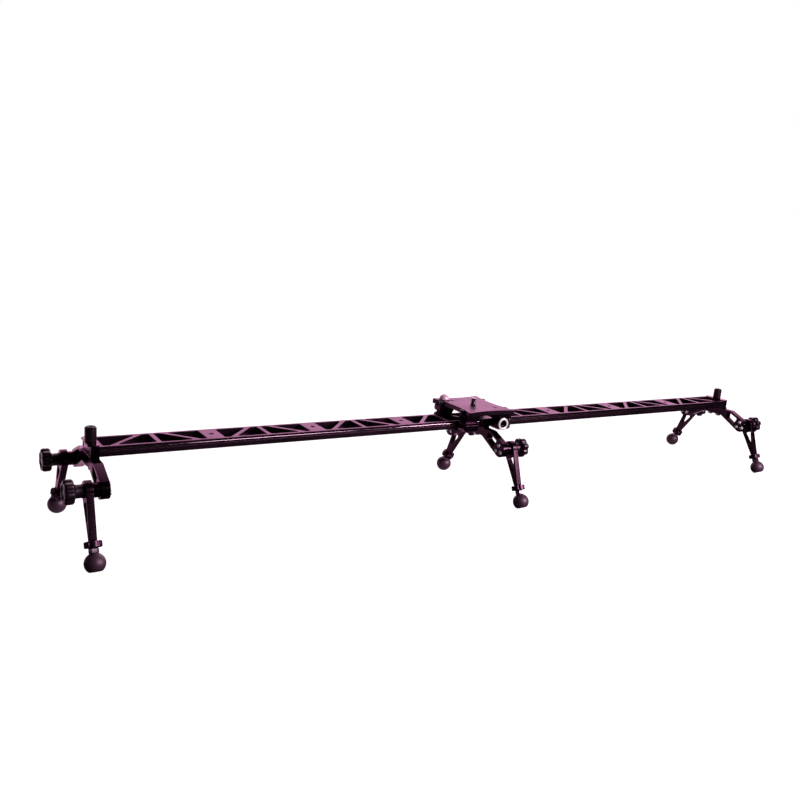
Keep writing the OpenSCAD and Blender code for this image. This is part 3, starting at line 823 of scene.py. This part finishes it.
dress("rail", rail_finish, 0.3 * MM)
dress("track_rods", rod_finish, 0.2 * MM)
dress("carriage_plate", plate_finish, 0.5 * MM)
for end in ENDS:
    dress("end_cap_" + end, black_finish, 0.4 * MM)
for station in STATIONS:
    dress("arch_" + station, black_finish, 0.5 * MM)
    dress("pivot_hubs_" + station, black_finish, 0.4 * MM)
for leg in LEGS:
    dress("leg_" + leg, leg_finish, 0.6 * MM)
for corner in CORNERS:
    dress("bracket_" + corner, black_finish, 0.4 * MM)


# ---- floor, light and camera ----

WHITE = (1, 1, 1)
FLOOR_HALF = 12.0
FLOOR_PALE = (0.27, 0.27, 0.27)
FLOOR_PALER = (0.30, 0.30, 0.30)
FLOOR_GLOW = 0.93
FLOOR_IN_MIRRORS = (0.06, 0.05, 0.06)
BACKDROP = 1.4                        # glow, in mirrors only, of the floor behind the rail
BACKDROP_DEPTH = 0.4
BACKDROP_TINT = (1.0, 0.66, 0.85)
BRIGHT_SIDE = (0.50, 0.75, 0.42)      # direction of the bright part of the ceiling
BRIGHT_EDGE = (0.68, 0.93)            # cosines between which it comes up
ROOM_DIM = (0.045, 0.029, 0.040)
ROOM_BRIGHT = (2.7, 1.95, 2.35)
LAMP_TINT = (1.0, 0.78, 0.91)
LAMP_TARGET = Vector((0, 0, 0.1))
CAMERA_PLACE = Vector((-0.849, -1.033, 0.435))
CAMERA_FORWARD = Vector((0.544, 0.810, -0.217))
CAMERA_UP = Vector((0.045, 0.230, 0.972))
CAMERA_LENS = 38.1                    # focal length in mm on a sensor 36 mm wide


def floor():
    """White to the camera. In the parts' mirror images it is dark in front of the rail, and
    brightens to a backdrop behind it."""
    bm = bmesh.new()
    bm.faces.new([
        bm.verts.new((x * FLOOR_HALF, y * FLOOR_HALF, 0))
        for x, y in ((-1, -1), (1, -1), (1, 1), (-1, 1))])
    mesh = bpy.data.meshes.new("floor")
    bm.to_mesh(mesh)
    bm.free()
    finish = Finish("floor_white")
    near = finish.seen_by_camera()
    pale = finish.blend(finish.noise(0.6, 3), FLOOR_PALE, FLOOR_PALER)
    depth = finish.add("ShaderNodeVectorMath", operation="DOT_PRODUCT")
    finish.feed(depth.inputs[0], finish.place)
    depth.inputs[1].default_value = (0, 1, 0)
    behind = finish.between(depth.outputs["Value"], 0.0, BACKDROP_DEPTH, 0.0, BACKDROP)
    finish.set(
        Base_Color=finish.blend(near, FLOOR_IN_MIRRORS, pale),
        Roughness=0.8,
        Specular_IOR_Level=0.1,
        Emission_Color=finish.blend(near, BACKDROP_TINT, WHITE),
        Emission_Strength=finish.mix(near, behind, FLOOR_GLOW),
    )
    mesh.materials.append(finish.material)
    made = bpy.data.objects.new("floor", mesh)
    bpy.context.scene.collection.objects.link(made)


def surroundings():
    """White to the camera. The parts mirror a dim room under a ceiling that is bright
    overhead and behind the rail."""
    world = bpy.data.worlds.new("studio")
    bpy.context.scene.world = world
    world.use_nodes = True
    shader = Shader(world.node_tree)
    facing = shader.add("ShaderNodeVectorMath", operation="DOT_PRODUCT")
    shader.feed(facing.inputs[0], shader.add("ShaderNodeTexCoord").outputs["Generated"])
    facing.inputs[1].default_value = Vector(BRIGHT_SIDE).normalized()
    room = shader.blend(
        shader.between(facing.outputs["Value"], *BRIGHT_EDGE), ROOM_DIM, ROOM_BRIGHT)
    background = world.node_tree.nodes["Background"]
    shader.feed(background.inputs["Color"], shader.blend(shader.seen_by_camera(), room, WHITE))


def softbox(name, place, size, power):
    """Round area light, size across, aimed at the middle of the slider."""
    light = bpy.data.lights.new(name, "AREA")
    light.shape = "DISK"
    light.size = size
    light.energy = power
    light.color = LAMP_TINT
    made = bpy.data.objects.new(name, light)
    made.location = place
    made.rotation_mode = "QUATERNION"
    made.rotation_quaternion = (LAMP_TARGET - Vector(place)).to_track_quat("-Z", "Y")
    bpy.context.scene.collection.objects.link(made)


def camera():
    lens = bpy.data.cameras.new("camera")
    lens.lens = CAMERA_LENS
    lens.sensor_width = 36
    lens.clip_start = 0.01
    made = bpy.data.objects.new("camera", lens)
    back = -CAMERA_FORWARD.normalized()
    right = CAMERA_UP.cross(back).normalized()
    axes = Matrix((right, back.cross(right), back)).transposed()
    made.location = CAMERA_PLACE
    made.rotation_mode = "QUATERNION"
    made.rotation_quaternion = axes.to_quaternion()
    bpy.context.scene.collection.objects.link(made)
    bpy.context.scene.camera = made


floor()
surroundings()
softbox("key", place=(0.4, -1.5, 0.98), size=0.6, power=28)
softbox("side", place=(0.83, -1.14, 0.66), size=0.36, power=26)
camera()
bpy.context.scene.view_settings.view_transform = "Standard"
